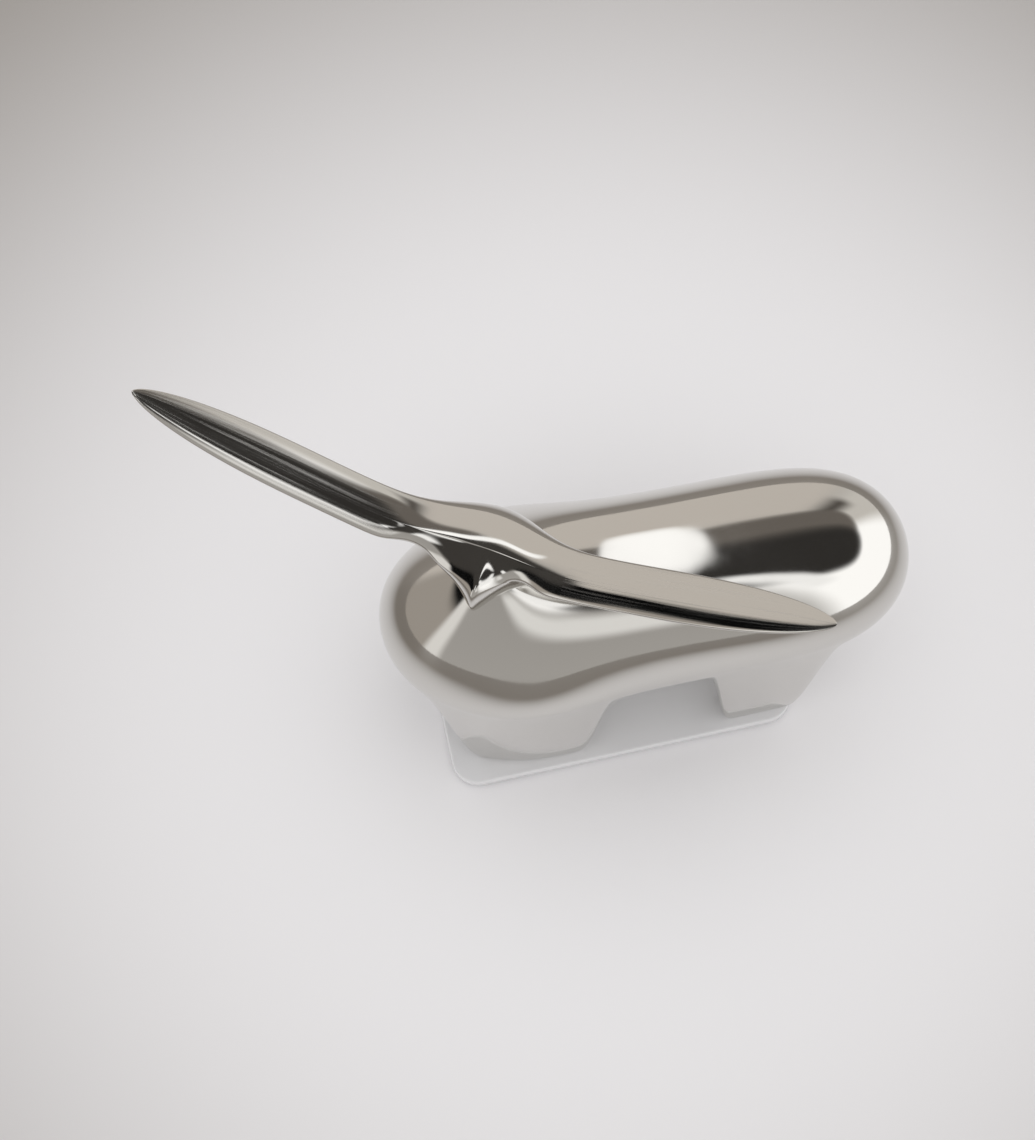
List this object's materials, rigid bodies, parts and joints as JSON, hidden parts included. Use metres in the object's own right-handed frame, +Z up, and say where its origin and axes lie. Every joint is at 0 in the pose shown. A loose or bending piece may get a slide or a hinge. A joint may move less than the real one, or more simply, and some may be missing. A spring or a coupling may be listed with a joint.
{
  "type": "bull figurine",
  "caption": "Stylised polished metal bull ornament with a smooth rounded body, stubby legs, a turned head and long blade horns, standing on a thin base plate.",
  "frame": {"origin": "centre of the felt's underside, where the ornament rests", "axes": "+X along the body from chest to rump, +Y to the bull's right side, +Z up"},
  "size_m": [0.1766, 0.0904, 0.1207],
  "materials": {
    "polished_casting": "mirror polished casting",
    "lacquered_plate": "pale gloss lacquer",
    "steel_fixing": "zinc plated",
    "dark_felt": "pressed felt"
  },
  "bodies": {
    "root": {"body_casting": "polished_casting", "head_casting": "polished_casting", "left_horn": "polished_casting", "right_horn": "polished_casting", "left_horn_stud": "steel_fixing", "right_horn_stud": "steel_fixing", "neck_stud": "steel_fixing", "neck_washer": "steel_fixing", "neck_nut": "steel_fixing", "belly_plug": "polished_casting", "base_plate": "lacquered_plate", "base_screw_front_left": "steel_fixing", "base_screw_front_right": "steel_fixing", "base_screw_rear_left": "steel_fixing", "base_screw_rear_right": "steel_fixing", "base_felt": "dark_felt"}
  },
  "joints": []
}
